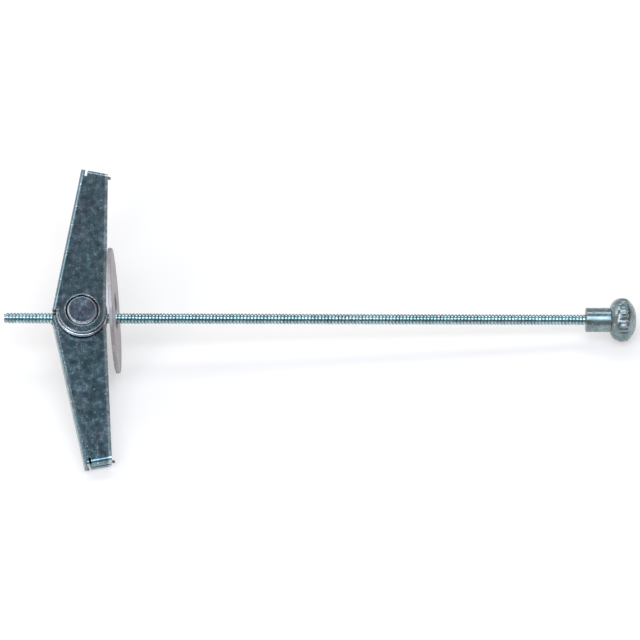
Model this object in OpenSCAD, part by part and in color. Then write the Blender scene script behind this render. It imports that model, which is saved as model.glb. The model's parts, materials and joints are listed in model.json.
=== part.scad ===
// Spring toggle bolt: a threaded rod with a sprung two-wing toggle, a loose washer and a knurled knob nut.
// It lies as it comes to rest on a table at z = 0: on the washer's rim, the knob's rim and one wing tip.
// The rod runs along +X, from its tail behind the toggle down to the knob.

/* [Rod] */
// Outer diameter of the threaded rod
rod_d = 4; // [3:0.1:4.2]
// Rod length from the pivot to its tail end
rod_tail = 29; // [24:1:60]
// Rod length from the pivot to the mouth of the knob
rod_reach = 189; // [140:1:260]
// Depth to which the rod is screwed into the knob
rod_in_knob = 11; // [6:0.5:13]
// Chamfer on both ends of the rod
rod_chamfer = 0.5; // [0.2:0.1:0.8]

/* [Trunnion nut] */
// Diameter of the cross pin's journals in the wings
journal_d = 12.4; // [10:0.1:14]
// Width of the turned step round the boss that shows at each end
boss_step = 0.75; // [0.4:0.05:1.5]
// Height of the boss above the outer wing's face
boss_proud = 0.4; // [0.2:0.1:1]
// Depth of the journal's end below the outer wing's face
journal_sunk = 0.4; // [0.2:0.1:0.6]
// Chamfer round the boss
boss_chamfer = 0.3; // [0.1:0.1:0.5]
// Running clearance, on the radius, of the wings on the journals and of the rod in its thread
run_gap = 0.05; // [0.03:0.01:0.1]

/* [Wings] */
// Sheet thickness of both wings
sheet_t = 1.1; // [0.8:0.1:1.4]
// Outside width of the outer wing's channel, across its flanges
wing_w = 15.6; // [15.4:0.1:20]
// Gap between the rod and the flanges of the narrow inner wing, on each side
rod_side_gap = 0.5; // [0.3:0.05:0.6]
// Length of the outer wing, from the pivot to its tip along the web
outer_len = 57.2; // [45:0.1:75]
// Length of the inner wing, from the pivot to its tip along the web
inner_len = 60; // [45:0.1:75]
// Depth of the channels at the tip
tip_depth = 10.2; // [8:0.1:12]
// Angle between the web and the open edge of the flanges
web_taper = 11.1; // [9:0.1:14]
// Flange metal round the pivot hole
ear_wall = 2.7; // [2.4:0.1:4]
// Gap between an ear and the web of the other wing
ear_gap = 1; // [0.4:0.1:1.5]
// Inside radius of the folds
fold_r = 0.6; // [0.4:0.1:0.8]
// Gap between the end of a web and the rod
stop_gap = 0.3; // [0.2:0.1:1]
// Flat strip of web left beside each fold of the outer wing, where its web is slotted for the rod
slot_land = 0.5; // [0.3:0.1:1]
// Gap between the outer wing's two end lips
outer_lip_gap = 7.6; // [0.6:0.1:9]
// Gap between the inner wing's two end lips
inner_lip_gap = 0.7; // [0.6:0.1:2]
// Width of the relief notch between a lip and the web
notch_w = 0.9; // [0.5:0.1:1.5]
// Depth of the relief notch below the lip
notch_run = 1.2; // [0.6:0.1:2]
// Length of the biting tooth on each wing
tooth_len = 1.3; // [0.8:0.1:2]
// Width of the biting tooth at its root
tooth_w = 1.5; // [1:0.1:2]

/* [Torsion spring] */
// Diameter of the spring wire
wire_d = 0.8; // [0.5:0.05:0.85]
// Gap between the turns of a coil
turn_gap = 0.06; // [0.04:0.01:0.3]
// Gap between the wire and what it lies on: ears, webs and hook holes
spring_gap = 0.15; // [0.1:0.05:0.3]
// Length of the bent foot that presses on the outer wing's web
foot_len = 17.2; // [15:0.1:18]
// How far the middle of the wire in the coils stands out past the ears' rims
coil_proud = 0.25; // [0:0.05:0.3]
// Bend of the legs where they meet the web
knee_bend = 0.9; // [0.5:0.1:1.2]
// Bend radius of the wire in the middle loop
loop_bend = 1.4; // [1:0.1:2]
// Distance of the hooks from the rod's axis, along the inner wing
hook_run = 4.2; // [3.8:0.1:4.6]
// Distance of the hooks from the cross pin's axis, towards the rod's tail
hook_off = 6.75; // [6.5:0.05:7]
// Bend radius of the wire at a hook
hook_bend = 1; // [0.8:0.1:1.2]

/* [Washer] */
// Outside diameter of the washer
washer_d = 47; // [40:0.5:60]
// Hole diameter of the washer
washer_hole_d = 14; // [10:0.5:20]
// Thickness of the washer
washer_t = 1.5; // [1:0.1:3]
// Lean of the washer from upright, its top towards the wings
washer_lean = 3.1; // [0:0.1:5]
// Gap between the leaning washer and the wings' open edges
washer_gap = 0.6; // [0.3:0.05:2]
// Gap between the rod and the washer's hole, where the rod lies in it
washer_seat_gap = 0.27; // [0.02:0.01:0.5]

/* [Knob] */
// Diameter of the knob's sleeve
sleeve_d = 9.1; // [7:0.1:12]
// Length of the sleeve
sleeve_len = 9.4; // [6:0.1:14]
// Diameter of the knob's head across the knurl
head_d = 16.4; // [14:0.1:20]
// Length of the flare from the sleeve to the rim
flare_len = 2.4; // [1:0.1:4]
// Length of the knurled rim
rim_len = 3.6; // [2:0.1:6]
// Length of the bevel behind the rim
bevel_len = 1.9; // [1:0.1:3]
// Drop of the bevel, on the radius
bevel_drop = 1.4; // [0.8:0.1:2]
// Height of the domed end
dome_len = 1.5; // [0.8:0.1:2.5]
// Diameter of the flat on the domed end
end_flat_d = 6.3; // [3:0.1:9]
// Number of ribs in the knurl
rib_count = 32; // [24:2:44]
// Depth of the grooves between the ribs
rib_depth = 0.45; // [0.2:0.05:0.6]

/* [Hidden] */
$fn = 96;
// Overlap by which a cutting tool passes a face
cut = 1;

// Rod, cross pin and wing sizes that follow from the ones above
rod_r = rod_d / 2;
journal_r = journal_d / 2;
hole_r = journal_r + run_gap;
outer_half = wing_w / 2;
inner_half = rod_r + rod_side_gap + sheet_t;
ear_r = hole_r + ear_wall;
web_off = ear_r + ear_gap + sheet_t;
bend_r = fold_r + sheet_t;
web_in = web_off - sheet_t;
// Where a web's folds end, just on their own side of the rod's axis
fold_end = stop_gap;

// Spring sizes: the coils fill the space between the ears of the two wings
coil_r = ear_r + coil_proud;
coil_z_in = inner_half + spring_gap + wire_d / 2;
coil_z_out = outer_half - sheet_t - fold_r - spring_gap;
coil_turns = max(1, floor((coil_z_out - coil_z_in) / (wire_d + turn_gap)));
leg_y = (web_in - wire_d / 2 - spring_gap - coil_r * cos(web_taper)) / sin(web_taper);

// Washer, knob and how the bolt lies
washer_r = washer_d / 2;
head_r = head_d / 2;
rim_start = rod_reach + sleeve_len + flare_len;
rim_end = rim_start + rim_len;
knob_end = rim_end + bevel_len + dome_len;
// The knob lies on two neighbouring ribs
knob_rest_r = head_r * cos(180 / rib_count);
// The leaning washer stands on the rim of its wing side, and the rod lies in the bottom of its hole
washer_hole_r = washer_hole_d / 2;
washer_z = washer_r * cos(washer_lean) + washer_t / 2 * sin(washer_lean);
seat_off = washer_t / 2 * cos(washer_lean) + washer_hole_r * sin(washer_lean);
seat_z = washer_z + washer_t / 2 * sin(washer_lean) - washer_hole_r * cos(washer_lean);
rod_rise = seat_z + rod_r + washer_seat_gap;

// Open edges of the wings where they pass the washer's rim, halfway up from the rod to the washer's top
edge_off = ear_r;
open_tip = turned([tip_depth - web_off, inner_len], -web_taper);
open_edge = edge_off + (open_tip[0] - edge_off) * washer_r / open_tip[1];
meet_h = (washer_z + washer_r * cos(washer_lean) - rod_rise) / 2;
// The rod slopes one way and the washer leans the other, so its middle stands off by both
function washer_mid(s) =
    (open_edge + washer_gap) / cos(s) + meet_h * tan(s)
    + (rod_rise + meet_h - washer_z) * tan(washer_lean) + washer_t / 2 / cos(washer_lean);
// Slope of the rod, from its height in the washer down to its height in the knob, found by iteration
function rod_slope(tries, s) =
    tries == 0 ? s
               : rod_slope(tries - 1, asin((rod_rise + (washer_mid(s) + seat_off) * tan(s)
                                            - knob_rest_r * cos(s)) / rim_end));
slope = rod_slope(8, 0);
washer_x = washer_mid(slope);
pivot_z = rod_rise + (washer_x + seat_off) * tan(slope);

// Roll of the toggle about the rod that sets the inner wing's tip on the table
tip_edge = turned([-web_off + tip_depth, inner_len - bend_r], -web_taper);
tip_drop = (pivot_z - tip_edge[0] * sin(slope)) / cos(slope) - bend_r;
tip_reach = norm([tip_edge[1], inner_half - bend_r]);
roll = asin(tip_drop / tip_reach) - atan2(inner_half - bend_r, tip_edge[1]);

// Origin under the middle of the whole bolt
outer_tip = turned([-web_off, outer_len], -web_taper);
inner_tip = turned([-web_off, inner_len], -web_taper);
mid_x = ((knob_end - rod_tail) * cos(slope) + (end_flat_d / 2 - rod_r + rod_chamfer) * sin(slope)) / 2;
mid_y = ((outer_tip[1] - inner_tip[1]) * cos(roll) + (outer_half - inner_half) * sin(roll)) / 2;

// A point of the plane turned about the origin
function turned(p, a) = [p[0] * cos(a) - p[1] * sin(a), p[0] * sin(a) + p[1] * cos(a)];
// A vector of length one
function unit(v) = v / norm(v);

// Puts the rod's own frame where the bolt lies: pivot at the origin, rod along X
module along_rod() {
    translate([-mid_x, -mid_y, pivot_z]) rotate([0, slope, 0]) children();
}

// Puts the toggle's frame where the bolt lies: cross pin along Z, wings along Y
module in_toggle() {
    along_rod() rotate([roll, 0, 0]) children();
}

// Turns a profile about the rod's axis
module round_on_rod() {
    rotate([90, 0, 90]) rotate_extrude() children();
}

// Sweeps a profile drawn in depth and width along a wing's length, from v0 to v1
module along_wing(v0, v1) {
    translate([0, v1, 0]) rotate([90, 0, 0]) linear_extrude(v1 - v0) children();
}

// Sweeps a profile drawn in length and width across a wing's depth, from u0 to u1
module across_wing(u0, u1) {
    translate([u0, 0, 0]) rotate([90, 0, 90]) linear_extrude(u1 - u0) children();
}

module threaded_rod() {
    tip_r = rod_r - rod_chamfer;
    last = rod_reach + rod_in_knob;
    color("slategray") along_rod() round_on_rod()
        polygon([[0, -rod_tail], [tip_r, -rod_tail], [rod_r, rod_chamfer - rod_tail],
                 [rod_r, last - rod_chamfer], [tip_r, last], [0, last]]);
}

module trunnion_nut() {
    boss_r = journal_r - boss_step;
    shoulder = outer_half - journal_sunk;
    top = outer_half + boss_proud;
    color("lightslategray") in_toggle() difference() {
        rotate_extrude()
            polygon([[0, -top], [boss_r - boss_chamfer, -top], [boss_r, boss_chamfer - top],
                     [boss_r, -shoulder], [journal_r, -shoulder], [journal_r, shoulder], [boss_r, shoulder],
                     [boss_r, top - boss_chamfer], [boss_r - boss_chamfer, top], [0, top]]);
        rotate([0, 90, 0]) cylinder(h = journal_d + 2 * cut, r = rod_r + run_gap, center = true);
    }
}

// Block with its two web-side corners rounded: from the web's face at u0 out past the flanges' open edges
module rounded_block(u0, half, r) {
    far = edge_off + cut;
    translate([u0 + r, -half]) square([far - u0 - r, 2 * half]);
    translate([u0, r - half]) square([far - u0, 2 * (half - r)]);
    for (side = [-1, 1]) translate([u0 + r, side * (half - r)]) circle(r);
}

// Section across a wing's channel
module channel_section(half) {
    difference() {
        rounded_block(-web_off, half, bend_r);
        rounded_block(-web_in, half - sheet_t, fold_r);
    }
}

// Side outline of a wing: round ear on the pivot, straight web, square tip and straight open edge
module wing_outline(length) {
    web_start = turned([fold_end * tan(web_taper) - web_off / cos(web_taper), fold_end], web_taper);
    open_start = turned([edge_off, 0], web_taper);
    polygon([web_start, [-web_off, length], [tip_depth - web_off, length], open_start,
             turned([0, fold_end], web_taper)]);
    circle(ear_r);
}

// Section along one end lip, from its fold, which laps into the flange, to its inner edge
module lip_section(half, length, lip_gap) {
    difference() {
        union() {
            translate([length - bend_r, half - bend_r]) circle(bend_r);
            translate([length - bend_r - cut, half - sheet_t]) square([cut, sheet_t]);
            translate([length - sheet_t, lip_gap / 2]) square([sheet_t, half - bend_r - lip_gap / 2]);
        }
        translate([length - bend_r, half - bend_r]) circle(fold_r);
        translate([length - 2 * bend_r - cut, half - 2 * bend_r]) square([bend_r + cut, 2 * bend_r - sheet_t]);
        translate([length - 2 * bend_r, half - 2 * bend_r]) square([2 * bend_r - sheet_t, bend_r]);
    }
}

// Both end lips, square across the channel behind the relief notch
module end_lips(half, length, lip_gap) {
    for (side = [0, 1]) mirror([0, 0, side])
        across_wing(bend_r - web_off + notch_w, edge_off) lip_section(half, length, lip_gap);
}

// The biting tooth on the inner corner of the upper lip
module tooth(length, lip_gap) {
    root = tip_depth - web_off;
    along_wing(length - sheet_t, length)
        polygon([[root - sheet_t, lip_gap / 2], [root + tooth_len, lip_gap / 2],
                 [root - sheet_t, lip_gap / 2 + tooth_w]]);
}

// The channel of a wing, with the web's end corners rounded and the flanges stopped at the lips' folds
module channel(half, length) {
    difference() {
        intersection() {
            along_wing(-ear_r - cut, length + cut) channel_section(half);
            across_wing(-web_off - cut, edge_off + cut) mirror([1, 0]) rounded_block(-length, half, bend_r);
        }
        translate([bend_r - web_off, length - bend_r, -half - cut])
            cube([2 * web_off, bend_r + cut, 2 * (half + cut)]);
    }
}

// A folded wing with its web along Y, its pivot on Z and its open edges towards +X
module wing(half, length, lip_gap) {
    // The web stops short of the rod, between its folds
    slot_half = max(half - bend_r - slot_land, rod_r + stop_gap);
    difference() {
        union() {
            intersection() {
                union() {
                    channel(half, length);
                    end_lips(half, length, lip_gap);
                }
                linear_extrude(2 * (half + cut), center = true) wing_outline(length);
            }
            tooth(length, lip_gap);
        }
        translate([bend_r - web_off, length - bend_r - notch_run, -half - cut])
            cube([notch_w, bend_r + notch_run + cut, 2 * (half + cut)]);
        rotate(web_taper) translate([-2 * web_off, -2 * web_off, -slot_half])
            cube([2 * web_off, 2 * web_off + rod_r + stop_gap, 2 * slot_half]);
        cylinder(h = 2 * (half + cut), r = hole_r, center = true);
    }
}

module outer_wing() {
    color("slategray") in_toggle() rotate(-web_taper) wing(outer_half, outer_len, outer_lip_gap);
}

module inner_wing() {
    color("lightslategray") in_toggle() mirror([0, 1, 0]) difference() {
        rotate(-web_taper) wing(inner_half, inner_len, inner_lip_gap);
        translate([-hook_off, hook_run, 0])
            cylinder(h = 2 * (inner_half + cut), r = wire_d / 2 + spring_gap, center = true, $fn = 24);
    }
}

// Points of a bend from a to c round the corner b
function bend(a, b, c, r, steps) =
    let (p = b + r * unit(a - b), q = b + r * unit(c - b))
    [for (i = [0 : steps]) let (t = i / steps) (1 - t) ^ 2 * p + 2 * t * (1 - t) * b + t ^ 2 * q];

// Half of the spring wire, on the +Z side: hook in the inner wing's ear, coil, leg and foot on the outer wing
function half_spring() =
    let (
        hook = [-hook_off, -hook_run, coil_z_in],
        hook_end = [-hook_off, -hook_run, inner_half - sheet_t - spring_gap],
        knee = [-coil_r, leg_y, coil_z_out],
        toe = knee + foot_len * [sin(web_taper), cos(web_taper), 0],
        coil_steps = 18 * coil_turns,
        coil = [for (i = [0 : coil_steps]) let (t = i / coil_steps, a = 180 - 360 * coil_turns * t)
                [coil_r * cos(a), coil_r * sin(a), coil_z_in + (coil_z_out - coil_z_in) * t]]
    )
    concat([hook_end], bend(hook_end, hook, coil[0], hook_bend, 4), coil,
           bend(coil[coil_steps], knee, toe, knee_bend, 3),
           bend(knee, toe, [toe[0], toe[1], 0], loop_bend, 5));

// The other half is the mirror image, run backwards
function mirrored_back(points) =
    [for (i = [len(points) - 1 : -1 : 0]) [points[i][0], points[i][1], -points[i][2]]];

// Direction of the wire at each point
function tangents(p) =
    [for (i = [0 : len(p) - 1]) unit(p[min(i + 1, len(p) - 1)] - p[max(i - 1, 0)])];

// A side direction carried along the wire without twist
function sides(t, n, i = 0, found = []) =
    i == len(t) ? found
                : let (m = unit(n - (n * t[i]) * t[i])) sides(t, m, i + 1, concat(found, [m]));

// Round wire of radius r along a path, as one closed solid
module wire(path, r, facets) {
    t = tangents(path);
    s = sides(t, [1, 0, 0]);
    last = len(path) - 1;
    points = [for (i = [0 : last], k = [0 : facets - 1]) let (a = 360 * k / facets)
              path[i] + r * (cos(a) * s[i] + sin(a) * cross(t[i], s[i]))];
    walls = [for (i = [0 : last - 1], k = [0 : facets - 1]) let (n = (k + 1) % facets)
             [i * facets + k, (i + 1) * facets + k, (i + 1) * facets + n, i * facets + n]];
    first_cap = [for (k = [0 : facets - 1]) k];
    last_cap = [for (k = [facets - 1 : -1 : 0]) last * facets + k];
    polyhedron(points, concat(walls, [first_cap, last_cap]), convexity = 6);
}

module torsion_spring() {
    front = half_spring();
    color("gray") in_toggle() wire(concat(front, mirrored_back(front)), wire_d / 2, 8);
}

module washer() {
    color("gainsboro") translate([washer_x - mid_x, -mid_y, washer_z]) rotate([0, 90 - washer_lean, 0])
        difference() {
            cylinder(h = washer_t, r = washer_r, center = true);
            cylinder(h = washer_t + 2 * cut, r = washer_hole_r, center = true);
        }
}

// Section of the knob from its axis outwards, with the dome as an arc between the bevel and the end flat
module knob_section() {
    sleeve_r = sleeve_d / 2;
    flat_r = end_flat_d / 2;
    shoulder_r = head_r - bevel_drop;
    dome_start = rim_end + bevel_len;
    dome_steps = 6;
    dome = [for (i = [0 : dome_steps]) let (a = 90 * i / dome_steps)
            [flat_r + (shoulder_r - flat_r) * cos(a), dome_start + dome_len * sin(a)]];
    flare_steps = 5;
    flare = [for (i = [0 : flare_steps]) let (a = 90 * i / flare_steps)
             [head_r - (head_r - sleeve_r) * cos(a), rod_reach + sleeve_len + flare_len * sin(a)]];
    mouth = rod_r + run_gap;
    polygon(concat([[mouth, rod_reach], [sleeve_r - rod_chamfer, rod_reach],
                    [sleeve_r, rod_reach + rod_chamfer]],
                   flare, [[head_r, rim_end]], dome,
                   [[0, knob_end], [0, rod_reach + rod_in_knob + rod_chamfer],
                    [mouth, rod_reach + rod_in_knob + rod_chamfer]]));
}

// Cross-section of the knurl, with a groove at the bottom so that the knob lies on two ribs
module knurl_outline() {
    polygon([for (i = [0 : 2 * rib_count - 1]) let (a = 180 * i / rib_count)
             (head_r - (i % 2 == 0 ? rib_depth : 0)) * [cos(a), sin(a)]]);
}

module knurled_knob() {
    color("silver") along_rod() intersection() {
        round_on_rod() knob_section();
        translate([rod_reach - cut, 0, 0]) rotate([0, 90, 0]) linear_extrude(knob_end - rod_reach + 2 * cut)
            knurl_outline();
    }
}

threaded_rod();
trunnion_nut();
outer_wing();
inner_wing();
torsion_spring();
washer();
knurled_knob();
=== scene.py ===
"""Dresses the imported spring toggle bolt: thread, wire, softened edges, zinc finishes, light and camera."""

import json
import logging
import math
from dataclasses import dataclass
from enum import Enum
from typing import Any, Dict, List, Optional, Sequence, Tuple

import bmesh
import bpy
from mathutils import Matrix, Vector


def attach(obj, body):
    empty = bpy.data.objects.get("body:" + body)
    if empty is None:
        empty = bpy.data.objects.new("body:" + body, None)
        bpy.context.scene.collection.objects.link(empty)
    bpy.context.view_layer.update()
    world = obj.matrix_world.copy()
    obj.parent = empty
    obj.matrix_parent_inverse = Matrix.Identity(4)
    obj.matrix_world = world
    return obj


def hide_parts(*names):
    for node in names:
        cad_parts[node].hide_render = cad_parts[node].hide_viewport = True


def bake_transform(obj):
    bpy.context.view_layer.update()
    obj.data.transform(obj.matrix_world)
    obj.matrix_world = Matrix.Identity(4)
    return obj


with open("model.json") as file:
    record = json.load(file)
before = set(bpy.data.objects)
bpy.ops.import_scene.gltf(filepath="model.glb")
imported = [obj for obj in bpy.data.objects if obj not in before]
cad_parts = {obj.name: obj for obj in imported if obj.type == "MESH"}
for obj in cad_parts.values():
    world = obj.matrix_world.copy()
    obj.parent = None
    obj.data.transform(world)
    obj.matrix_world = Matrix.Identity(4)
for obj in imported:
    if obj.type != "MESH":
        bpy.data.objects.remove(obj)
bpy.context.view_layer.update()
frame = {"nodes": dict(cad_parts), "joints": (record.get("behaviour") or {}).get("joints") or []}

LOG = logging.getLogger("toggle_bolt")
MM = 0.001
UM = 1e-6

# Angle between an open wing's web and the square across the rod
WEB_TAPER_DEG = 11.1
# Rounding of the cut and stamped edges
WING_EDGE_MM = 0.32
PIN_EDGE_MM = 0.26
WASHER_EDGE_MM = 0.25
# Edges sharper than this stay sharp or get a rounding
CREASE_DEG = 32.0
# Mesh clean-up: points closer than the gap are one, faces flatter than the angle are one
MERGE_GAP = 1e-6
FLAT_DEG = 0.4
EDGE_SEGMENTS = 2
FACE_WEIGHT = 100

# Middle of the noise, and its values between which each pattern changes over
NOISE_MIDDLE = (0.5, 0.5, 0.5)
BLOTCH_NOISE = (0.36, 0.64)
HAZE_NOISE = (0.48, 0.72)
FINE_NOISE = (0.3, 0.7)
STREAK_NOISE = (0.62, 0.72)
# Sizes of one pattern as a share of another
HAZE_PER_BLOTCH = 1.7
DULL_PER_BLOTCH = 0.45
WANDER_PER_FLECK = 1.3
TEAR_PER_FLECK = 1.6
# Strongest bloom, and the core, reach and strength of a fleck
HAZE_MOST = 0.7
FLECK_CORE = 0.08
FLECK_REACH = (0.2, 0.7)
FLECK_MOST = 0.85
# Direction, stretch and width of the tumbling scratches, and size of the grain
STREAK_TURN = (0.5, 0.3, 0.9)
STREAK_STRETCH = (1.0, 0.08, 0.08)
STREAK_MM = 0.7
GRAIN_MM = 0.9
# Share of a mask's width at which it starts to fade
SOFT_START = 0.6

Tree = bpy.types.NodeTree
Socket = bpy.types.NodeSocket


class Half(Enum):
    """The two mirror halves of the spring, above and below the rod along the cross pin."""

    UPPER = 1
    LOWER = -1


class WingNode(Enum):
    """The two folded wings, by node name."""

    OUTER = "outer_wing"
    INNER = "inner_wing"


def linear(hex_colour: str) -> Tuple[float, float, float, float]:
    """Turns an sRGB hex colour into linear RGBA.

    Args:
        hex_colour: Colour such as "#8899aa".

    Returns:
        Linear red, green, blue and an alpha of one.
    """
    values = [int(hex_colour[i:i + 2], 16) / 255 for i in (1, 3, 5)]
    bent = [v / 12.92 if v <= 0.04045 else ((v + 0.055) / 1.055) ** 2.4 for v in values]
    return (bent[0], bent[1], bent[2], 1.0)


def add(tree: Tree, kind: str, inputs: Optional[Dict[Any, Any]] = None, **settings: Any) -> bpy.types.Node:
    """Adds one node with its settings, and fills or links its inputs.

    Args:
        tree: Shader or geometry tree.
        kind: Node type; a shader node's without its "ShaderNode", such as "Math".
        inputs: Input name or index to a value, or to what feeds it: a socket, or a node by its first output.
        settings: Attributes of the node.

    Returns:
        The new node.
    """
    node = tree.nodes.new(kind if "Node" in kind else "ShaderNode" + kind)
    for key, value in settings.items():
        setattr(node, key, value)
    for key, value in (inputs or {}).items():
        if isinstance(value, bpy.types.Node):
            value = next(output for output in value.outputs if output.enabled)
        if isinstance(value, Socket):
            tree.links.new(value, node.inputs[key])
        else:
            node.inputs[key].default_value = value
    return node


def empty_tree(owner: Any) -> Tree:
    """Shader tree of a material or world, without its first nodes."""
    owner.use_nodes = True
    owner.node_tree.nodes.clear()
    return owner.node_tree


def per_mm(size_mm: float) -> float:
    """Texture scale, in Object coordinates, of a pattern whose cells measure size_mm."""
    return 1.0 / (size_mm * MM)


def mapped(value: Any, low: Any, high: Any, first: Any = 0.0, last: Any = 1.0) -> Dict[str, Any]:
    """Inputs that carry a value from the range low to high over to the range first to last."""
    return {"Value": value, "From Min": low, "From Max": high, "To Min": first, "To Max": last}


@dataclass(frozen=True)
class BoltFrame:
    """The bolt's own axes where it lies: pivot, rod direction and cross pin direction, in the row frame.

    Attributes:
        pivot: Crossing point of the rod and the cross pin, in metres.
        rod: Unit vector along the rod, from its tail to the knob.
        pin: Unit vector along the cross pin.
    """

    pivot: Vector
    rod: Vector
    pin: Vector

    @classmethod
    def from_joints(cls) -> "BoltFrame":
        """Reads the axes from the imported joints."""
        joints = {joint["name"]: joint for joint in frame["joints"]}
        turn = joints["rod_turn"]
        fold = joints["inner_wing_fold"]
        rod, pin = (Vector(joint["axis"]).normalized() for joint in (turn, fold))
        return cls(Vector(turn["pos_m"]), rod, pin)

    def toggle_matrix(self) -> Matrix:
        """Matrix from the toggle's own frame (X rod, Z cross pin) to the row frame."""
        across = self.pin.cross(self.rod)
        turned = Matrix((self.rod, across, self.pin)).transposed().to_4x4()
        return Matrix.Translation(self.pivot) @ turned

    def rod_matrix(self, start: float) -> Matrix:
        """Matrix from a frame with Z along the rod, start metres from the pivot, to the row frame."""
        side = self.rod.cross(Vector((0, 1, 0))).normalized()
        turned = Matrix((side, self.rod.cross(side), self.rod)).transposed().to_4x4()
        return Matrix.Translation(self.pivot + self.rod * start) @ turned

    def wing_matrix(self, wing: WingNode) -> Matrix:
        """Matrix from a wing's own frame, with X square to its web, to the row frame."""
        turn = -WEB_TAPER_DEG if wing is WingNode.OUTER else WEB_TAPER_DEG
        return self.toggle_matrix() @ Matrix.Rotation(math.radians(turn), 4, "Z")

    def span(self, node: str) -> Tuple[float, float, float]:
        """Measures a node along the rod.

        Args:
            node: CAD node's name.

        Returns:
            Its first and last point along the rod from the pivot, and its largest distance from the axis.
        """
        offsets = [v.co - self.pivot for v in frame["nodes"][node].data.vertices]
        along = [offset.dot(self.rod) for offset in offsets]
        out = max((offset - self.rod * d).length for offset, d in zip(offsets, along))
        return min(along), max(along), out


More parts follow.
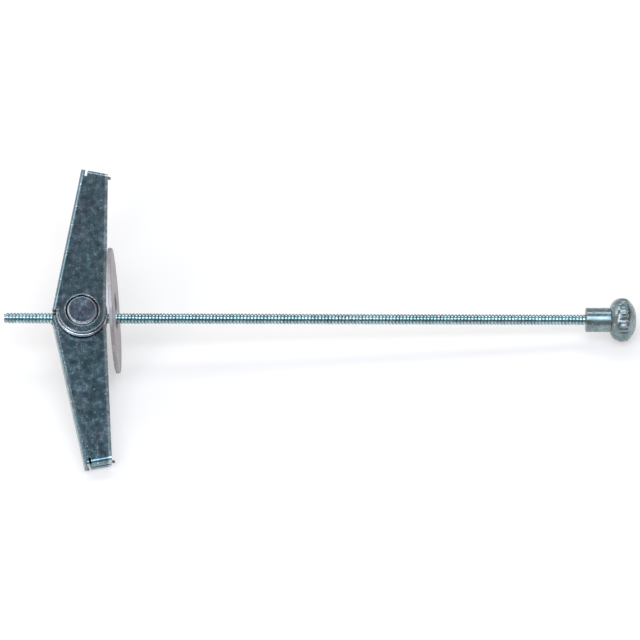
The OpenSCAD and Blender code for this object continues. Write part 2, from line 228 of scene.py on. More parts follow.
@dataclass(frozen=True)
class ZincFinish:
    """Zinc-plated steel with a clear blue passivation, the common finish of such hardware.

    The zinc crystals and the tumbling in the plating drum leave soft blotches, a fine mottle, pale flecks and
    scratches, so the metal is satin and never quite even.

    Attributes:
        name: Material name.
        pale: Colour of the clean plating.
        deep: Colour of the darker, thicker passivation.
        bloom: Colour of the faint bloom on it.
        smooth: Lowest roughness.
        rough: Highest roughness.
        blotch_mm: Size of the blotches.
        mottle_mm: Size of the fine mottle.
        mottle: Share by which the mottle lightens and darkens the colour.
        fleck_mm: Spacing of the pale flecks.
        fleck_share: Threshold above which a fleck shows, from 0 to 1.
        fleck: Colour of the flecks and scratches, and of the painted highlights.
        scratch: Strength of the scratches.
        grain_um: Height of the fine grain in micrometres.
    """

    name: str
    pale: str
    deep: str
    bloom: str
    smooth: float
    rough: float
    blotch_mm: float = 5.0
    mottle_mm: float = 1.2
    mottle: float = 0.3
    fleck_mm: float = 0.9
    fleck_share: float = 0.86
    fleck: str = "#dfe9ec"
    scratch: float = 0.35
    grain_um: float = 3.0

    def marks(self, tree: Tree, place: Socket) -> Optional[Socket]:
        """Height in metres of the tool marks left by how the piece was made, or None."""
        return None

    def fleck_limit(self, tree: Tree, place: Socket) -> Any:
        """Threshold of the flecks, as a number or a socket."""
        return self.fleck_share

    def painted_highlight(self, tree: Tree, place: Socket) -> Optional[Socket]:
        """Share of painted highlight on edges and rims, or None."""
        return None

    def material(self) -> bpy.types.Material:
        """Builds the material.

        Returns:
            A metallic node material with colour, roughness and bump from its patterns.
        """
        made = bpy.data.materials.new(self.name)
        tree = empty_tree(made)
        place = add(tree, "TexCoord").outputs["Object"]
        shader = add(tree, "BsdfPrincipled", {
            "Base Color": self.colour(tree, place), "Metallic": 1.0, "Roughness": self.dullness(tree, place),
            "Normal": self.relief(tree, place)})
        add(tree, "OutputMaterial", {"Surface": shader})
        return made

    def colour(self, tree: Tree, place: Socket) -> Socket:
        """Mixes the blotches, bloom, mottle, flecks and scratches, and the painted highlights.

        Args:
            tree: Material's tree.
            place: Coordinates of the patterns.

        Returns:
            Colour socket.
        """
        blotch = add(tree, "TexNoise", {
            "Vector": place, "Scale": per_mm(self.blotch_mm), "Detail": 4.0, "Roughness": 0.62})
        share = add(tree, "MapRange", mapped(blotch, *BLOTCH_NOISE), interpolation_type="SMOOTHSTEP")
        body = add(tree, "Mix", {
            "Factor": share, "A": linear(self.deep), "B": linear(self.pale)}, data_type="RGBA")
        haze = add(tree, "TexNoise", {
            "Vector": place, "Scale": per_mm(self.blotch_mm * HAZE_PER_BLOTCH), "Detail": 2.0})
        haze_share = add(tree, "MapRange", mapped(haze, *HAZE_NOISE, 0.0, HAZE_MOST))
        bloomed = add(tree, "Mix", {
            "Factor": haze_share, "A": body, "B": linear(self.bloom)}, data_type="RGBA")
        fine = add(tree, "TexNoise", {
            "Vector": place, "Scale": per_mm(self.mottle_mm), "Detail": 3.0, "Roughness": 0.6})
        gain = add(tree, "MapRange", mapped(fine, *FINE_NOISE, 1.0 - self.mottle, 1.0 + self.mottle))
        shown = add(tree, "VectorMath", {0: bloomed, "Scale": gain}, operation="SCALE")
        # Flecks and scratches, then the painted highlights, all in the fleck colour
        for pale in (self.flecks(tree, place), self.painted_highlight(tree, place)):
            if pale is not None:
                shown = add(tree, "Mix", {"Factor": pale, "A": shown, "B": linear(self.fleck)},
                            data_type="RGBA")
        return shown.outputs["Result"]

    def dullness(self, tree: Tree, place: Socket) -> Socket:
        """Roughness that wanders between the smooth and the rough value."""
        grain = add(tree, "TexNoise", {
            "Vector": place, "Scale": per_mm(self.blotch_mm * DULL_PER_BLOTCH), "Detail": 5.0})
        dull = add(tree, "MapRange", mapped(grain, *FINE_NOISE, self.smooth, self.rough))
        return dull.outputs["Result"]

    def flecks(self, tree: Tree, place: Socket) -> Socket:
        """Pale flecks where zinc crystals catch the light, and the scratches between them.

        Args:
            tree: Material's tree.
            place: Coordinates of the patterns.

        Returns:
            Share of fleck colour, from 0 to 1.
        """
        wander = add(tree, "TexNoise", {
            "Vector": place, "Scale": per_mm(self.fleck_mm * WANDER_PER_FLECK), "Detail": 2.0})
        centred = add(tree, "VectorMath", {0: wander.outputs["Color"], 1: NOISE_MIDDLE},
                      operation="SUBTRACT")
        shift = add(tree, "VectorMath", {
            0: centred, "Scale": self.fleck_mm * TEAR_PER_FLECK * MM}, operation="SCALE")
        torn = add(tree, "VectorMath", {0: place, 1: shift}, operation="ADD")
        cells = add(tree, "TexVoronoi", {"Vector": torn, "Scale": per_mm(self.fleck_mm)})
        random = add(tree, "SeparateColor", {"Color": cells.outputs["Color"]})
        chosen = add(tree, "Math", {0: random.outputs["Red"], 1: self.fleck_limit(tree, place)},
                     operation="GREATER_THAN")
        reach = add(tree, "MapRange", mapped(random.outputs["Green"], 0.0, 1.0, *FLECK_REACH))
        core = add(tree, "MapRange", mapped(cells.outputs["Distance"], FLECK_CORE, reach, FLECK_MOST, 0.0))
        fleck = add(tree, "Math", {0: chosen, 1: core}, operation="MULTIPLY")
        streak_place = add(tree, "Mapping", {
            "Vector": place, "Rotation": STREAK_TURN, "Scale": STREAK_STRETCH})
        streak = add(tree, "TexNoise", {"Vector": streak_place, "Scale": per_mm(STREAK_MM), "Detail": 2.0})
        line = add(tree, "MapRange", mapped(streak, *STREAK_NOISE, 0.0, self.scratch))
        both = add(tree, "Math", {0: fleck, 1: line}, operation="MAXIMUM")
        return both.outputs["Value"]

    def relief(self, tree: Tree, place: Socket) -> Socket:
        """Bump from the fine grain and the tool marks.

        Args:
            tree: Material's tree.
            place: Coordinates of the patterns.

        Returns:
            Normal socket.
        """
        grain = add(tree, "TexNoise", {"Vector": place, "Scale": per_mm(GRAIN_MM), "Detail": 3.0})
        height = add(tree, "Math", {0: grain, 1: self.grain_um * UM}, operation="MULTIPLY")
        marks = self.marks(tree, place)
        if marks is not None:
            height = add(tree, "Math", {0: height, 1: marks}, operation="ADD")
        bump = add(tree, "Bump", {"Strength": 1.0, "Distance": 1.0, "Height": height})
        return bump.outputs["Normal"]


def seen_from(tree: Tree, place: Socket, own: Matrix) -> Sequence[Socket]:
    """The X, Y and Z of a place in a frame of the piece's own."""
    local = add(tree, "Mapping", {
        "Vector": place, "Location": own.to_translation(), "Rotation": own.to_euler()}, vector_type="TEXTURE")
    return add(tree, "SeparateXYZ", {"Vector": local}).outputs


def from_axis(tree: Tree, x: Socket, y: Socket) -> Socket:
    """Distance from the Z axis."""
    flat = add(tree, "CombineXYZ", {"X": x, "Y": y})
    return add(tree, "VectorMath", {0: flat}, operation="LENGTH").outputs["Value"]


def ring_share(tree: Tree, radius: Socket, ring_mm: Tuple[float, float]) -> Socket:
    """Soft mask of a ring.

    Args:
        tree: Material's tree.
        radius: Distance from the ring's axis, in metres.
        ring_mm: Inner and outer radius of the ring.

    Returns:
        One inside the ring, falling to zero at its edges.
    """
    off = add(tree, "Math", {0: radius, 1: sum(ring_mm) * MM / 2}, operation="SUBTRACT")
    away = add(tree, "Math", {0: off}, operation="ABSOLUTE")
    half = (ring_mm[1] - ring_mm[0]) * MM / 2
    inside = add(tree, "MapRange", mapped(away, half * SOFT_START, half, 1.0, 0.0))
    return inside.outputs["Result"]


@dataclass(frozen=True)
class FoldedZinc(ZincFinish):
    """Zinc over folded sheet, scuffed along the fold by the bending tool, with painted highlights round the
    pivot hole, on the rim of the ears and along the open edge.

    Attributes:
        own: Matrix of the wing's frame, with X square to the web.
        fold_mm: Place of the fold along X.
        scuff_mm: Width of the scuffed band beside it.
        scuff_share: Threshold of the flecks at the fold.
        hole_mm: Ring of painted highlight round the pivot hole.
        rim_mm: Ring of painted highlight on the rim of the ears.
        rim_side: Side of the pivot on which the ears are round, along Y.
        rim_fade_mm: Distance from the pivot's row over which the rim's ring comes in.
        rim_most: Strongest share of painted highlight on the rim.
        root_mm: Point of the open edge at the ears, with Y towards the tip.
        tip_mm: Point of the open edge at the tip.
        strip_mm: Width of the painted highlight strip along the open edge.
        strip: Share of painted highlight in the strip.
    """

    own: Matrix = Matrix.Identity(4)
    fold_mm: float = -9.3
    scuff_mm: float = 4.0
    scuff_share: float = 0.6
    hole_mm: Tuple[float, float] = (6.0, 6.75)
    rim_mm: Tuple[float, float] = (8.5, 9.6)
    rim_side: float = -1.0
    rim_fade_mm: float = 2.0
    rim_most: float = 0.9
    root_mm: Tuple[float, float] = (8.78, 1.72)
    tip_mm: Tuple[float, float] = (-0.85, 57.2)
    strip_mm: float = 1.5
    strip: float = 0.55

    def painted_highlight(self, tree: Tree, place: Socket) -> Optional[Socket]:
        """Painted highlights: rings round the pivot hole and on the rim of the ears, and a strip along the
        open edge.

        Args:
            tree: Material's tree.
            place: Object coordinates.

        Returns:
            Share of painted highlight.
        """
        x, y, _ = seen_from(tree, place, self.own)
        radius = from_axis(tree, x, y)
        # Painted highlight on the rim of the ears, faded in on the side of the pivot where they are round
        below = add(tree, "Math", {0: y, 1: self.rim_side}, operation="MULTIPLY")
        side = add(tree, "MapRange", mapped(below, 0.0, self.rim_fade_mm * MM, 0.0, self.rim_most))
        share = add(tree, "Math", {0: ring_share(tree, radius, self.rim_mm), 1: side}, operation="MULTIPLY")
        # Painted highlights round the pivot hole and along the open edge
        for mask in (ring_share(tree, radius, self.hole_mm), self.edge_strip(tree, x, y)):
            share = add(tree, "Math", {0: mask, 1: share}, operation="MAXIMUM")
        return share.outputs["Value"]

    def edge_strip(self, tree: Tree, x: Socket, y: Socket) -> Socket:
        """Soft mask of the strip along the open edge.

        Args:
            tree: Material's tree.
            x: Place square to the web, in the wing's frame.
            y: Place along the wing.

        Returns:
            Share of painted highlight, which falls to zero inwards.
        """
        root = Vector(self.root_mm) * MM
        along = (Vector(self.tip_mm) * MM - root).normalized()
        inward = Vector((-along.y, along.x))
        start = inward.dot(root)
        width = self.strip_mm * MM
        flat = add(tree, "CombineXYZ", {"X": x, "Y": y})
        depth = add(tree, "VectorMath", {0: flat, 1: (inward.x, -self.rim_side * inward.y, 0.0)},
                    operation="DOT_PRODUCT")
        strip = add(tree, "MapRange",
                    mapped(depth, start + width * SOFT_START, start + width, self.strip, 0.0))
        return strip.outputs["Result"]

    def fleck_limit(self, tree: Tree, place: Socket) -> Any:
        """Threshold that rises from the fold outwards."""
        x, _, _ = seen_from(tree, place, self.own)
        far_mm = self.fold_mm + self.scuff_mm
        limit = add(tree, "MapRange", mapped(
            x, self.fold_mm * MM, far_mm * MM, self.scuff_share, self.fleck_share))
        return limit.outputs["Result"]


@dataclass(frozen=True)
class TurnedZinc(ZincFinish):
    """Zinc over a turned surface, with the fine rings that the lathe tool leaves round an axis.

    Attributes:
        own: Matrix whose Z is the axis that the piece was turned on.
        ring_mm: Spacing of the rings, drawn coarser than the real feed of about 0.1 mm so that they show.
        ring_um: Height of the rings in micrometres.
        groove_mm: Inner and outer radius of a recess darkened with painted shade; none if equal.
        groove_left: Share of the colour that is left in the recess under the painted shade.
        edge_mm: Inner and outer radius of a chamfer with a painted highlight; none if equal.
    """

    own: Matrix = Matrix.Identity(4)
    ring_mm: float = 0.45
    ring_um: float = 6.0
    groove_mm: Tuple[float, float] = (0.0, 0.0)
    groove_left: float = 0.12
    edge_mm: Tuple[float, float] = (0.0, 0.0)

    def painted_highlight(self, tree: Tree, place: Socket) -> Optional[Socket]:
        """Painted highlight on the chamfer at the end of a turned boss, or None."""
        if self.edge_mm[0] == self.edge_mm[1]:
            return None
        # Painted highlight on the chamfer ring
        x, y, _ = seen_from(tree, place, self.own)
        return ring_share(tree, from_axis(tree, x, y), self.edge_mm)

    def colour(self, tree: Tree, place: Socket) -> Socket:
        """Paints shade into the recess.

        Args:
            tree: Material's tree.
            place: Object coordinates.

        Returns:
            Colour socket.
        """
        plain = super().colour(tree, place)
        if self.groove_mm[0] == self.groove_mm[1]:
            return plain
        # Painted shade: the ring round the boss is darkened to a small share of its colour
        x, y, _ = seen_from(tree, place, self.own)
        sunk = ring_share(tree, from_axis(tree, x, y), self.groove_mm)
        clean = add(tree, "MapRange", mapped(sunk, 0.0, 1.0, 1.0, self.groove_left))
        dark = add(tree, "VectorMath", {0: plain, "Scale": clean}, operation="SCALE")
        return dark.outputs["Vector"]

    def marks(self, tree: Tree, place: Socket) -> Optional[Socket]:
        """Rings on end faces follow the distance from the axis, and rings on round walls the place along it.

        Args:
            tree: Material's tree.
            place: Object coordinates.

        Returns:
            Height of the rings in metres.
        """
        x, y, z = seen_from(tree, place, self.own)
        rings = add(tree, "CombineXYZ", {"X": from_axis(tree, x, y), "Y": z})
        noise = add(tree, "TexNoise", {
            "Vector": rings, "Scale": per_mm(self.ring_mm), "Detail": 2.0}, noise_dimensions="2D")
        height = add(tree, "Math", {0: noise, 1: self.ring_um * UM}, operation="MULTIPLY")
        return height.outputs["Value"]


def linked(data: bpy.types.ID, name: str) -> bpy.types.Object:
    """Puts a mesh, path, lamp or camera into the scene as an object at the origin."""
    made = bpy.data.objects.new(name, data)
    bpy.context.scene.collection.objects.link(made)
    return made


def frozen(source: bpy.types.Object, name: str, place: Matrix) -> bpy.types.Object:
    """Turns an object with modifiers into a plain mesh object at the origin.

    Args:
        source: Object whose modifiers make the shape; it is removed.
        name: Name of the plain piece.
        place: Matrix that puts the shape into the row frame.

    Returns:
        The plain piece.
    """
    graph = bpy.context.evaluated_depsgraph_get()
    mesh = bpy.data.meshes.new_from_object(source.evaluated_get(graph), depsgraph=graph)
    bpy.data.objects.remove(source)
    mesh.name = name
    mesh.transform(place)
    return linked(mesh, name)


def smoothed(piece: bpy.types.Object, crease_deg: float = CREASE_DEG) -> bpy.types.Object:
    """Shades a piece smooth, except across edges sharper than crease_deg."""
    piece.data.shade_smooth()
    piece.data.set_sharp_from_angle(angle=math.radians(crease_deg))
    return piece


def softened_copy(node: str, name: str, edge_mm: float, finish: bpy.types.Material) -> bpy.types.Object:
    """Copies a CAD node with its sharp edges slightly rounded, as deburred and plated edges are.

    Args:
        node: CAD node's name.
        name: Name of the new piece.
        edge_mm: Width of the rounding.
        finish: Material of the piece.

    Returns:
        The softened piece.
    """
    mesh = frame["nodes"][node].data.copy()
    if "custom_normal" in mesh.attributes:
        mesh.attributes.remove(mesh.attributes["custom_normal"])
    work = bmesh.new()
    work.from_mesh(mesh)
    bmesh.ops.remove_doubles(work, verts=work.verts, dist=MERGE_GAP)
    bmesh.ops.dissolve_limit(work, angle_limit=math.radians(FLAT_DEG), verts=work.verts, edges=work.edges)
    work.to_mesh(mesh)
    work.free()
    mesh.shade_smooth()
    mesh.materials.clear()
    mesh.materials.append(finish)
    source = linked(mesh, name + "_source")
    bevel = source.modifiers.new("edge", "BEVEL")
    bevel.width = edge_mm * MM
    bevel.segments = EDGE_SEGMENTS
    bevel.limit_method = "ANGLE"
    bevel.angle_limit = math.radians(CREASE_DEG)
    bevel.miter_outer = "MITER_ARC"
    level = source.modifiers.new("flat_faces", "WEIGHTED_NORMAL")
    level.weight = FACE_WEIGHT
    level.keep_sharp = False
    return frozen(source, name, Matrix.Identity(4))


def keep(piece: bpy.types.Object, body: Optional[str], node: str) -> None:
    """Puts a piece in place of a CAD node, on its body unless it is blended."""
    if body is not None:
        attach(piece, body)
    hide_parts(node)
    LOG.info("%s on %s in place of %s", piece.name, body or "two bodies", node)


def new_tree(name: str, sizes: Sequence[Tuple[str, str]],
             given: bool = False) -> Tuple[Tree, bpy.types.Node]:
    """Starts a geometry tree with named inputs.

    Args:
        name: Name of the tree.
        sizes: Input names with their socket types.
        given: Whether the tree starts from the object's own shape.

    Returns:
        The tree and its input node.
    """
    tree = bpy.data.node_groups.new(name, "GeometryNodeTree")
    tree.interface.new_socket("Geometry", in_out="OUTPUT", socket_type="NodeSocketGeometry")
    if given:
        tree.interface.new_socket("Geometry", in_out="INPUT", socket_type="NodeSocketGeometry")
    for label, kind in sizes:
        tree.interface.new_socket(label, in_out="INPUT", socket_type=kind)
    return tree, tree.nodes.new("NodeGroupInput")


def close_tree(tree: Tree, shape: Socket, finish: Socket) -> None:
    """Ends a geometry tree in plain, dressed geometry."""
    real = add(tree, "GeometryNodeRealizeInstances", {"Geometry": shape})
    dressed = add(tree, "GeometryNodeSetMaterial", {"Geometry": real, "Material": finish})
    add(tree, "NodeGroupOutput", {"Geometry": dressed})


def shaped(source: bpy.types.Object, tree: Tree, values: Dict[str, Any]) -> bpy.types.Object:
    """Puts a geometry tree on an object and sets its named inputs by their identifiers."""
    modifier = source.modifiers.new(tree.name, "NODES")
    modifier.node_group = tree
    for item in tree.interface.items_tree:
        if item.in_out == "INPUT" and item.name in values:
            modifier[item.identifier] = values[item.name]
    return source


@dataclass
class ThreadedRod:
    """The long rod: a core with one rolled thread ridge wound on it from end to end.

    Attributes:
        bolt: Axes of the bolt.
        finish: Material of the rod.
        pitch_mm: Pitch of the thread, as coarse as the photo shows it.
        depth_mm: Height of the ridge above the core.
        root_share: Width of the ridge's root, as a share of the pitch.
        crest_share: Width of its crest.
        end_share: Size to which the ridge tapers at its ends.
        turn_steps: Steps of the spiral in a turn.
        core_sides: Sides of the core.
    """

    bolt: BoltFrame
    finish: bpy.types.Material
    pitch_mm: float = 1.27
    depth_mm: float = 0.42
    root_share: float = 0.94
    crest_share: float = 0.52
    end_share: float = 0.05
    turn_steps: int = 20
    core_sides: int = 32

    def build(self) -> bpy.types.Object:
        """Winds the thread and places the rod.

        Returns:
            The rod with its thread.
        """
        first, last, radius = self.bolt.span("threaded_rod")
        source = linked(bpy.data.meshes.new("rod_source"), "rod_source")
        shaped(source, self.tree(), {
            "Length": last - first, "Outer radius": radius, "Depth": self.depth_mm * MM,
            "Pitch": self.pitch_mm * MM, "Finish": self.finish})
        piece = smoothed(frozen(source, "rod_with_thread", self.bolt.rod_matrix(first)))
        keep(piece, "rod", "threaded_rod")
        return piece

    def tree(self) -> Tree:
        """Geometry tree of the thread: a spiral with a trapezoid section on a plain core.

        Returns:
            The tree, with named inputs for the sizes.
        """
        tree, given = new_tree("rod_thread", [
            *((label, "NodeSocketFloat") for label in ("Length", "Outer radius", "Depth", "Pitch")),
            ("Finish", "NodeSocketMaterial")])
        sizes = given.outputs
        core = add(tree, "Math", {0: sizes["Outer radius"], 1: sizes["Depth"]}, operation="SUBTRACT")
        turns = add(tree, "Math", {0: sizes["Length"], 1: sizes["Pitch"]}, operation="DIVIDE")
        spiral = add(tree, "GeometryNodeCurveSpiral", {
            "Resolution": self.turn_steps, "Rotations": turns, "Start Radius": core,
            "End Radius": core, "Height": sizes["Length"]})
        upright = add(tree, "GeometryNodeSetCurveNormal", {"Curve": spiral}, mode="Z_UP")
        root_width, crest_width = (
            add(tree, "Math", {0: sizes["Pitch"], 1: share}, operation="MULTIPLY")
            for share in (self.root_share, self.crest_share))
        section = add(tree, "GeometryNodeCurvePrimitiveQuadrilateral", {
            "Height": sizes["Depth"], "Bottom Width": root_width,
            "Top Width": crest_width, "Offset": 0.0}, mode="TRAPEZOID")
        lift = add(tree, "Math", {0: sizes["Depth"], 1: -0.5}, operation="MULTIPLY")
        raised = add(tree, "CombineXYZ", {"X": lift})
        turned = add(tree, "GeometryNodeTransform", {
            "Geometry": section, "Translation": raised,
            "Rotation": (0.0, 0.0, math.pi / 2)})
        ridge = add(tree, "GeometryNodeCurveToMesh", {
            "Curve": upright, "Profile Curve": turned,
            "Scale": self.run_out(tree, turns.outputs["Value"]), "Fill Caps": True})
        bar = add(tree, "GeometryNodeMeshCylinder", {
            "Vertices": self.core_sides, "Radius": core, "Depth": sizes["Length"]})
        half = add(tree, "Math", {0: sizes["Length"], 1: 0.5}, operation="MULTIPLY")
        up = add(tree, "CombineXYZ", {"Z": half})
        stood = add(tree, "GeometryNodeTransform", {"Geometry": bar, "Translation": up})
        both = add(tree, "GeometryNodeJoinGeometry")
        for part in (ridge.outputs["Mesh"], stood.outputs["Geometry"]):
            tree.links.new(part, both.inputs["Geometry"])
        close_tree(tree, both.outputs["Geometry"], sizes["Finish"])
        return tree

    def run_out(self, tree: Tree, turns: Socket) -> Socket:
        """Tapers the ridge to nothing over the first and last turn.

        Args:
            tree: Tree of the thread.
            turns: Number of turns.

        Returns:
            Size of the section along the spiral, from nearly nothing to one.
        """
        along = add(tree, "GeometryNodeSplineParameter")
        done = add(tree, "Math", {0: along.outputs["Factor"], 1: turns}, operation="MULTIPLY")
        left = add(tree, "Math", {0: turns, 1: done}, operation="SUBTRACT")
        least = add(tree, "Math", {0: done, 1: left}, operation="MINIMUM")
        share = add(tree, "MapRange", mapped(least, 0.0, 1.0, self.end_share, 1.0))
        return share.outputs["Result"]


@dataclass
class TorsionSpring:
    """Double torsion spring: hooks in the inner wing's ears, two coils and a loop on the outer wing's web.

    Each coil is cut at its middle, so that its inner turn winds between the cross pin and the inner wing, and
    its outer turn between the cross pin and the outer wing.

    Attributes:
        bolt: Axes of the bolt.
        finish: Material of the wire.
        wire_mm: Wire diameter.
        coil_mm: Radius of the coils at the middle of the wire.
        inner_mm: Distance of a coil's inner turn from the rod's axis, along the cross pin.
        outer_mm: Distance of its outer turn.
        hook_mm: Distance along the inner wing at which the hooks enter its ears.
        hook_off_mm: Distance of those holes from the cross pin, towards the tail.
        hook_end_mm: Distance of a hook's end from the rod's axis.
        hook_bend_mm: Reach of a hook's bend.
        knee_mm: Distance along the outer wing at which the legs meet the web.
        knee_bend_mm: Reach of the bend at the knee.
        foot_mm: Length of the foot along the web.
        toe_bend_mm: Reach of the bend from the foot to the bridge.
        turns: Turns in each coil.
        turn_steps: Steps of the path in a turn.
        bend_steps: Steps of the path in a bend.
        sides: Sides of the round wire.
    """

    bolt: BoltFrame
    finish: bpy.types.Material
    wire_mm: float = 0.8
    coil_mm: float = 9.2
    inner_mm: float = 4.15
    outer_mm: float = 5.95
    hook_mm: float = 4.2
    hook_off_mm: float = 6.75
    hook_end_mm: float = 2.35
    hook_bend_mm: float = 1.0
    knee_mm: float = 1.933
    knee_bend_mm: float = 0.9
    foot_mm: float = 17.2
    toe_bend_mm: float = 1.4
    turns: int = 2
    turn_steps: int = 24
    bend_steps: int = 6
    sides: int = 14

    def build(self) -> None:
        """Makes the loop and the four half coils."""
        loop = self.wire("spring_loop", self.loop())
        keep(loop, WingNode.OUTER.value, "torsion_spring")
        for half in Half:
            side = half.name.lower()
            self.winding(f"spring_coil_{side}", self.coil(0.5, 1.0), half)
            self.winding(f"spring_hook_{side}", self.coil(0.5, 0.0) + self.hook(), half)

    def winding(self, name: str, points: Sequence[Vector], half: Half) -> None:
        """Makes one half coil that winds between the cross pin and a wing.

        Args:
            name: Name of the piece.
            points: Its path on the upper half, in millimetres.
            half: Half of the spring that it belongs to.
        """
        piece = self.wire(name, [Vector((p.x, p.y, p.z * half.value)) for p in points])
        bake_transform(piece)
        keep(piece, None, "torsion_spring")

    def coil(self, first: float, last: float) -> List[Vector]:
        """Points of the coil between two shares of it, where 0 is its inner and 1 its outer end."""
        steps = self.turn_steps * self.turns
        shares = [first + (last - first) * i / steps for i in range(steps + 1)]
        made = []
        for share in shares:
            angle = math.pi * (1 - 2 * self.turns * share)
            made.append(Vector((self.coil_mm * math.cos(angle), self.coil_mm * math.sin(angle),
                                self.inner_mm + (self.outer_mm - self.inner_mm) * share)))
        return made

    def hook(self) -> List[Vector]:
        """Points from the coil's inner end into the hole in the inner wing's ear."""
        start = Vector((-self.coil_mm, 0, self.inner_mm))
        corner = Vector((-self.hook_off_mm, -self.hook_mm, self.inner_mm))
        end = Vector((-self.hook_off_mm, -self.hook_mm, self.hook_end_mm))
        return self.bent(start, corner, end, self.hook_bend_mm)

    def loop(self) -> List[Vector]:
        """Points of both legs, feet and the bridge on the outer wing's web."""
        taper = math.radians(WEB_TAPER_DEG)
        start = Vector((-self.coil_mm, 0, self.outer_mm))
        knee = Vector((-self.coil_mm, self.knee_mm, self.outer_mm))
        toe = knee + Vector((math.sin(taper), math.cos(taper), 0)) * self.foot_mm
        front = [start] + self.bent(start, knee, toe, self.knee_bend_mm)[:-1]
        front += self.bent(knee, toe, Vector((toe.x, toe.y, 0)), self.toe_bend_mm)
        return front + [Vector((p.x, p.y, -p.z)) for p in reversed(front[:-1])]

    def bent(self, a: Vector, b: Vector, c: Vector, reach: float) -> List[Vector]:
        """Points of a wire bend round the corner b, on to c.

        Args:
            a: Point before the corner.
            b: Corner.
            c: Point after it, where the list ends.
            reach: Distance from the corner at which the bend starts and ends.

        Returns:
            Points of the bend and the end point.
        """
        p = b + (a - b).normalized() * reach
        q = b + (c - b).normalized() * reach
        curve = []
        for i in range(self.bend_steps + 1):
            t = i / self.bend_steps
            curve.append((1 - t) ** 2 * p + 2 * t * (1 - t) * b + t * t * q)
        return curve + [c]

    def wire(self, name: str, path: Sequence[Vector]) -> bpy.types.Object:
        """Sweeps the wire along a path in the toggle's frame.

        Args:
            name: Name of the piece.
            path: Points in millimetres.

        Returns:
            The piece, in the row frame.
        """
        curve = bpy.data.curves.new(name + "_path", "CURVE")
        curve.dimensions = "3D"
        spline = curve.splines.new("POLY")
        spline.points.add(len(path) - 1)
        for point, place in zip(spline.points, path):
            point.co = (*(place * MM), 1.0)
        source = linked(curve, name + "_path")
        shaped(source, self.tree(), {"Wire radius": self.wire_mm * MM / 2, "Finish": self.finish})
        return smoothed(frozen(source, name, self.bolt.toggle_matrix()))

    def tree(self) -> Tree:
        """Geometry tree that gives a path its round wire.

        Returns:
            The tree, made once.
        """
        if "spring_wire_sweep" in bpy.data.node_groups:
            return bpy.data.node_groups["spring_wire_sweep"]
        tree, given = new_tree("spring_wire_sweep", [
            ("Wire radius", "NodeSocketFloat"), ("Finish", "NodeSocketMaterial")], given=True)
        section = add(tree, "GeometryNodeCurvePrimitiveCircle", {
            "Resolution": self.sides, "Radius": given.outputs["Wire radius"]})
        swept = add(tree, "GeometryNodeCurveToMesh", {
            "Curve": given.outputs["Geometry"], "Profile Curve": section, "Fill Caps": True})
        close_tree(tree, swept.outputs["Mesh"], given.outputs["Finish"])
        return tree


@dataclass
class SoftPiece:
    """Wing, cross pin or washer: the CAD shape with its cut or stamped edges rounded.

    Attributes:
        node: CAD node's name.
        name: Name of the piece.
        body: Body that it rides on.
        slot: Material slot of the record; not used.
        edge_mm: Rounding of its edges.
        finish: Its material.
    """

    node: str
    name: str
    body: str
    slot: str
    edge_mm: float
    finish: bpy.types.Material

    def build(self) -> None:
        """Softens, dresses and places the piece."""
        keep(softened_copy(self.node, self.name, self.edge_mm, self.finish), self.body, self.node)


